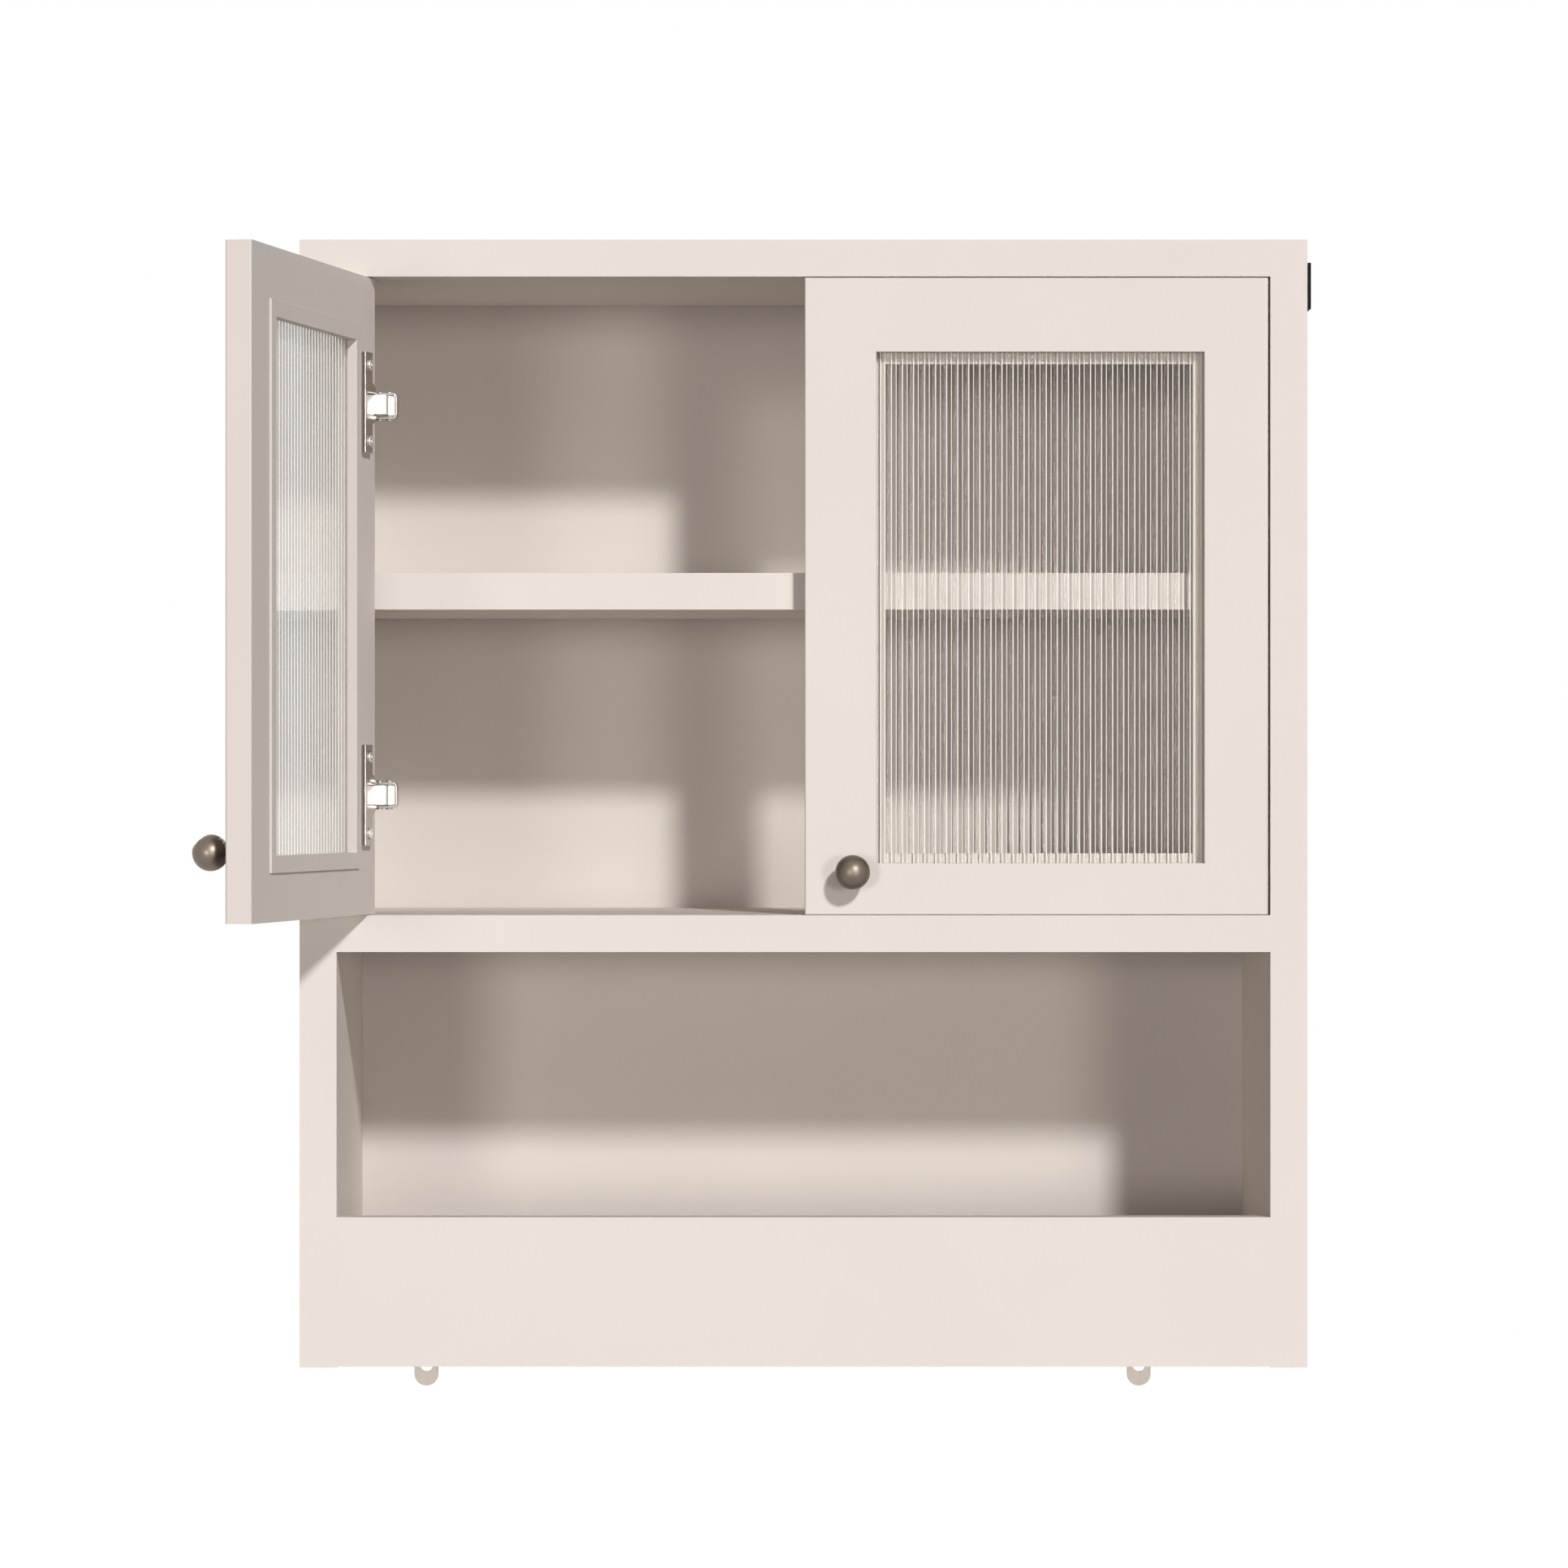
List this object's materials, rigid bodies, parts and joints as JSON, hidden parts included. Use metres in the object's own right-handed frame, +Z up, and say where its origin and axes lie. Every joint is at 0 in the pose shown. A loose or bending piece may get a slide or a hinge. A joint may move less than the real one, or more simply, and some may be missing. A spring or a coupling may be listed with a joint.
{
  "type": "medicine cabinet",
  "caption": "Wall cabinet with two inset doors of ribbed glass over a shelf bay, an open bay with an apron below, ball knobs, concealed hinges and wall lugs.",
  "frame": {"origin": "centre of the upper hanging rail's rear face, which lies on the wall", "axes": "+Y points into the wall, +Z up, the doors face -Y and +X is to the right seen from the front"},
  "size_m": [0.6539, 0.4952, 0.7055],
  "materials": {
    "paint": "satin cream paint on board",
    "raw_board": "plain board, unpainted, hidden at the wall side",
    "dowel_wood": "plain beech",
    "fluted_glass": "clear, reeded on the front",
    "bronze": "dark bronze, satin",
    "nickel": "bright nickel plate",
    "lug_paint": "pale grey-beige satin",
    "black_steel": "black satin"
  },
  "bodies": {
    "case": {"left_side_panel": "paint", "right_side_panel": "paint", "top_panel": "paint", "divider_panel": "paint", "bottom_panel": "paint", "back_panel": "paint", "front_apron": "paint", "shelf": "paint", "upper_rail": "raw_board", "lower_rail": "raw_board", "panel_dowels": "dowel_wood", "shelf_pins": "nickel", "hanger_plates": "nickel", "hanger_screws": "nickel", "lug_screws": "nickel", "hinge_rivets": "nickel", "plate_screws": "nickel", "arm_screws": "nickel", "left_upper_hinge_neck": "nickel", "left_lower_hinge_neck": "nickel", "right_upper_hinge_neck": "nickel", "right_lower_hinge_neck": "nickel", "left_upper_hinge_arm": "nickel", "left_lower_hinge_arm": "nickel", "right_upper_hinge_arm": "nickel", "right_lower_hinge_arm": "nickel", "left_upper_hinge_plate": "nickel", "left_lower_hinge_plate": "nickel", "right_upper_hinge_plate": "nickel", "right_lower_hinge_plate": "nickel", "left_wall_lug": "lug_paint", "right_wall_lug": "lug_paint", "side_hook": "black_steel", "hook_screws": "black_steel"},
    "left_door": {"left_door_frame": "paint", "left_fluted_glass": "fluted_glass", "left_glass_bead": "paint", "left_knob": "bronze", "left_knob_screw": "nickel", "left_upper_hinge_cup": "nickel", "left_lower_hinge_cup": "nickel", "left_cup_screws": "nickel", "left_hinge_pins": "nickel"},
    "right_door": {"right_door_frame": "paint", "right_fluted_glass": "fluted_glass", "right_glass_bead": "paint", "right_knob": "bronze", "right_knob_screw": "nickel", "right_upper_hinge_cup": "nickel", "right_lower_hinge_cup": "nickel", "right_cup_screws": "nickel", "right_hinge_pins": "nickel"}
  },
  "joints": [
    {"name": "left_door_swing", "type": "hinge", "parent": "case", "child": "left_door", "pos_m": [-0.2668, -0.23215, -0.3], "axis": [0, 0, -1], "range_deg": [-100.5, 0]},
    {"name": "right_door_swing", "type": "hinge", "parent": "case", "child": "right_door", "pos_m": [0.2668, -0.23215, -0.3], "axis": [0, 0, 1], "range_deg": [0, 100.5]}
  ]
}
